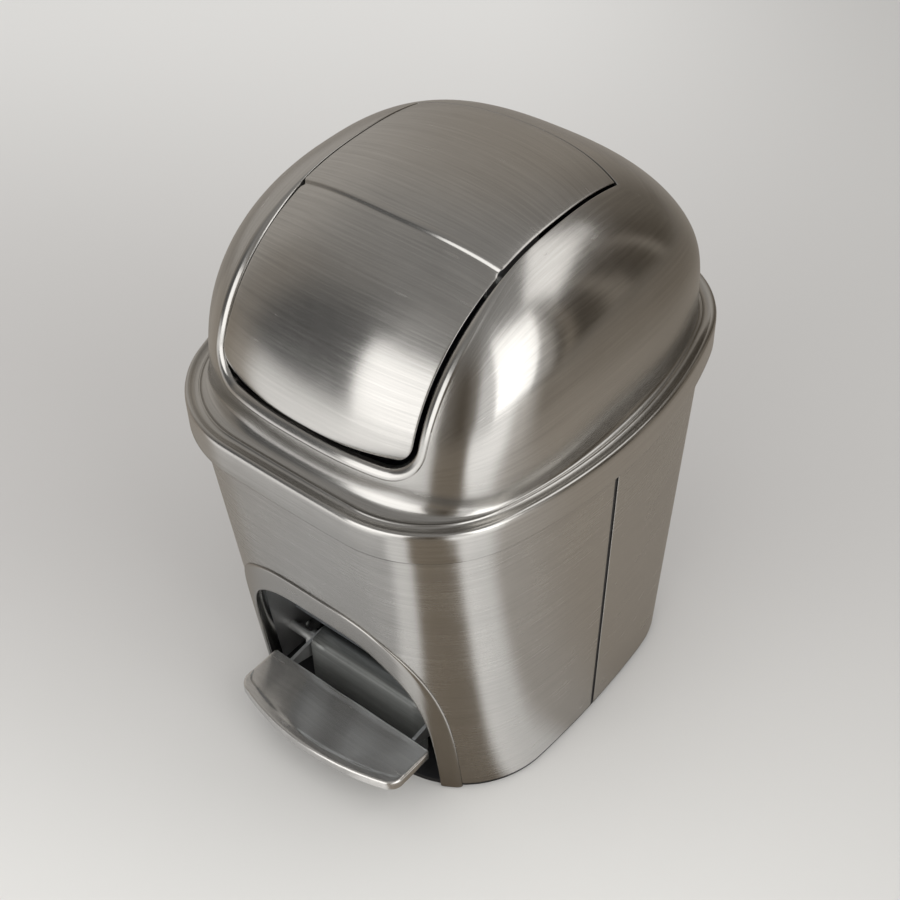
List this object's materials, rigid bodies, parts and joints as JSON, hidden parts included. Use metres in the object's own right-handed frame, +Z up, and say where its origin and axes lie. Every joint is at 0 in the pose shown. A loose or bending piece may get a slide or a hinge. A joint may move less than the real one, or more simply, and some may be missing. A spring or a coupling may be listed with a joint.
{
  "type": "step trash can",
  "caption": "Oval-cornered brushed steel step bin: domed lift-off lid, pedal-driven swing flap, arched toe recess with pedal, lift-out inner bucket.",
  "frame": {"origin": "centre of the base, on the floor", "axes": "+Z up, -Y towards the pedal, +X to the right as seen from behind"},
  "size_m": [0.22, 0.2633, 0.3182],
  "materials": {
    "black_plastic": "moulded, satin",
    "black_rubber": "matt",
    "brushed_steel": "fine brushed stainless steel, clear",
    "galvanised": "galvanised sheet, dull blue-grey",
    "inner_steel": "zinc plated steel",
    "white_nylon": "moulded nylon"
  },
  "bodies": {
    "bin_body": {"front_shell": "brushed_steel", "rear_shell": "brushed_steel", "arch_bezel": "brushed_steel", "seam_strip_left": "black_plastic", "seam_strip_right": "black_plastic", "base_tray": "black_plastic", "anti_slip_ring": "black_rubber", "top_collar": "black_plastic", "well_wall_left": "inner_steel", "well_wall_right": "inner_steel", "pedal_pin": "inner_steel", "bucket_ledge_left": "inner_steel", "bucket_ledge_right": "inner_steel", "rod_guide_left": "inner_steel", "rod_guide_right": "inner_steel", "return_spring": "inner_steel"},
    "pedal": {"pedal_yoke": "inner_steel", "pedal_tread": "brushed_steel"},
    "lower_rods": {"lower_rod_left": "inner_steel", "lower_rod_right": "inner_steel"},
    "lid": {"lid_dome": "brushed_steel", "lid_frame": "black_plastic", "pivot_bracket_left": "inner_steel", "pivot_bracket_right": "inner_steel"},
    "upper_rods": {"upper_rod_left": "inner_steel", "upper_rod_right": "inner_steel"},
    "flap": {"flap_plate": "brushed_steel", "flap_crank_left": "inner_steel", "flap_crank_right": "inner_steel", "crank_roller_left": "white_nylon", "crank_roller_right": "white_nylon", "pivot_pin_left": "inner_steel", "pivot_pin_right": "inner_steel"},
    "bucket": {"bucket": "galvanised", "bail_ear_left": "inner_steel", "bail_ear_right": "inner_steel"},
    "bail": {"bail_wire": "inner_steel", "bail_grip": "black_plastic"}
  },
  "joints": [
    {"name": "pedal_hinge", "type": "hinge", "parent": "bin_body", "child": "pedal", "pos_m": [0, -0.076, 0.024], "axis": [1, 0, 0], "range_deg": [0, 18], "stiffness_Nm_per_rad": 2, "springref_deg": -8.59},
    {"name": "lower_rod_slide", "type": "slide", "parent": "bin_body", "child": "lower_rods", "axis": [0, 0, 1], "range_m": [0, 0.0215]},
    {"name": "lid_lift", "type": "slide", "parent": "bin_body", "child": "lid", "axis": [0, 0, 1], "range_m": [0, 0.3]},
    {"name": "upper_rod_slide", "type": "slide", "parent": "lid", "child": "upper_rods", "axis": [0, 0, 1], "range_m": [0, 0.0215]},
    {"name": "flap_hinge", "type": "hinge", "parent": "lid", "child": "flap", "pos_m": [0, -0.036, 0.3], "axis": [1, 0, 0], "range_deg": [0, 45.1]},
    {"name": "bucket_lift", "type": "slide", "parent": "bin_body", "child": "bucket", "axis": [0, 0, 1], "range_m": [0, 0.161]},
    {"name": "bail_hinge", "type": "hinge", "parent": "bucket", "child": "bail", "pos_m": [0, 0.01, 0.19], "axis": [1, 0, 0], "range_deg": [0, 90]}
  ],
  "couplings": [
    {"joint": "lower_rod_slide", "follows": "pedal_hinge", "m_per_rad": 0.06822},
    {"joint": "upper_rod_slide", "follows": "pedal_hinge", "m_per_rad": 0.06822},
    {"joint": "flap_hinge", "follows": "pedal_hinge", "ratio": 2.5},
    {"joint": "bucket_lift", "follows": "lid_lift", "ratio": 0.533},
    {"joint": "bail_hinge", "follows": "lid_lift", "rad_per_m": 5.23}
  ]
}
